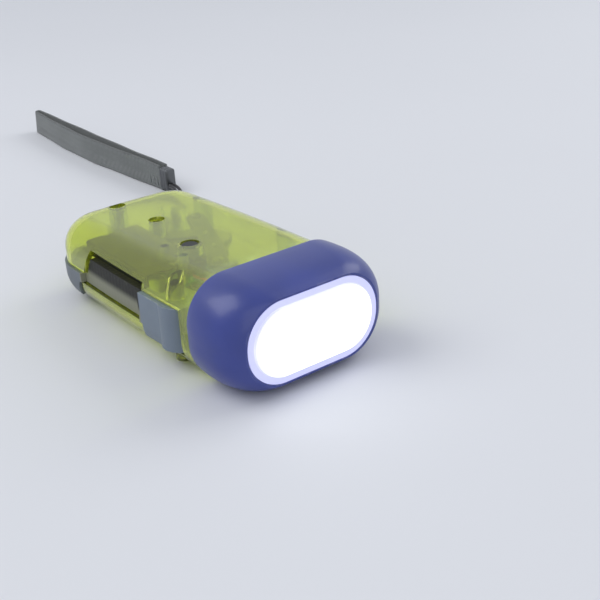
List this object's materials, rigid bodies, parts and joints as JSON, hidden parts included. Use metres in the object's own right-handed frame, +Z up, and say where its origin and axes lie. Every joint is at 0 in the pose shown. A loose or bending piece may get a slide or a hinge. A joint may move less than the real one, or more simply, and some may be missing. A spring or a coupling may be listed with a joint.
{
  "type": "squeeze-lever dynamo torch",
  "caption": "Pocket dynamo torch with a side squeeze lever, gear train and flywheel in a clear-tinted casing, stadium lamp head and wrist strap.",
  "frame": {"origin": "bottom centre of the torch without its wrist strap, on the surface that it lies on", "axes": "+X is the way the beam goes, -Y is the side with the squeeze lever, +Z is up through the broad face"},
  "size_m": [0.2853, 0.0817, 0.0306],
  "materials": {
    "casing": "clear-tinted yellow-green, polished",
    "head": "dark blue, moulded",
    "lens": "clear, polished",
    "bright": "bright-plated",
    "lamp": "clear, lit white",
    "lever": "slate blue, satin",
    "steel": "ground",
    "gear": "moulded grey",
    "grey": "moulded dark grey",
    "magnet": "sintered, dark",
    "copper": "enamelled wire",
    "board": "solder-masked",
    "black": "moulded black",
    "cell": "shrink-wrapped",
    "lead_wire": "insulated",
    "webbing": "woven charcoal",
    "cord": "braided black"
  },
  "bodies": {
    "casing": {"lower_shell": "casing", "upper_shell": "casing", "head_bezel": "head", "lens": "lens", "reflector": "bright", "lamps": "lamp", "lamp_board": "board", "lever_pin": "steel", "return_spring": "steel", "gear_axles": "steel", "gear_plate": "grey", "plate_screws": "steel", "stator_core": "steel", "stator_coil": "copper", "circuit_board": "board", "switch_body": "black", "rechargeable_cell": "cell", "cell_clips": "steel", "leads": "lead_wire", "case_screws": "steel", "strap_pin": "steel", "strap_cord": "cord", "strap_crimp": "steel", "strap_band": "webbing"},
    "lever": {"squeeze_lever": "lever"},
    "first_gear": {"first_gear": "gear"},
    "second_gear": {"second_gear": "gear"},
    "flywheel": {"flywheel": "steel", "flywheel_pinion": "gear", "flywheel_shaft": "steel", "ring_magnet": "magnet"},
    "button": {"power_button": "black"},
    "lock": {"lever_lock": "lever"}
  },
  "joints": [
    {"name": "lever_hinge", "type": "hinge", "parent": "casing", "child": "lever", "pos_m": [0.0179, -0.02, 0.0126], "axis": [0, 0, 1], "range_deg": [0, 25]},
    {"name": "first_gear_spin", "type": "hinge", "parent": "casing", "child": "first_gear", "pos_m": [-0.02172, -0.00277, 0.014], "axis": [0, 0, 1], "range_deg": [-200, 0]},
    {"name": "second_gear_spin", "type": "hinge", "parent": "casing", "child": "second_gear", "pos_m": [-0.01346, 0.00902, 0.016], "axis": [0, 0, 1], "range_deg": [0, 400]},
    {"name": "flywheel_spin", "type": "hinge", "parent": "casing", "child": "flywheel", "pos_m": [-0.00289, 0.00517, 0.007], "axis": [0, 0, -1], "range_deg": [0, 800]},
    {"name": "button_press", "type": "slide", "parent": "casing", "child": "button", "axis": [0, 0, -1], "range_m": [0, 0.0008], "stiffness_N_per_m": 400},
    {"name": "lock_slide", "type": "slide", "parent": "casing", "child": "lock", "axis": [1, 0, 0], "range_m": [0, 0.003]}
  ],
  "couplings": [
    {"joint": "lever_hinge", "follows": "flywheel_spin", "ratio": 0.03125},
    {"joint": "first_gear_spin", "follows": "flywheel_spin", "ratio": -0.25},
    {"joint": "second_gear_spin", "follows": "flywheel_spin", "ratio": 0.5}
  ]
}
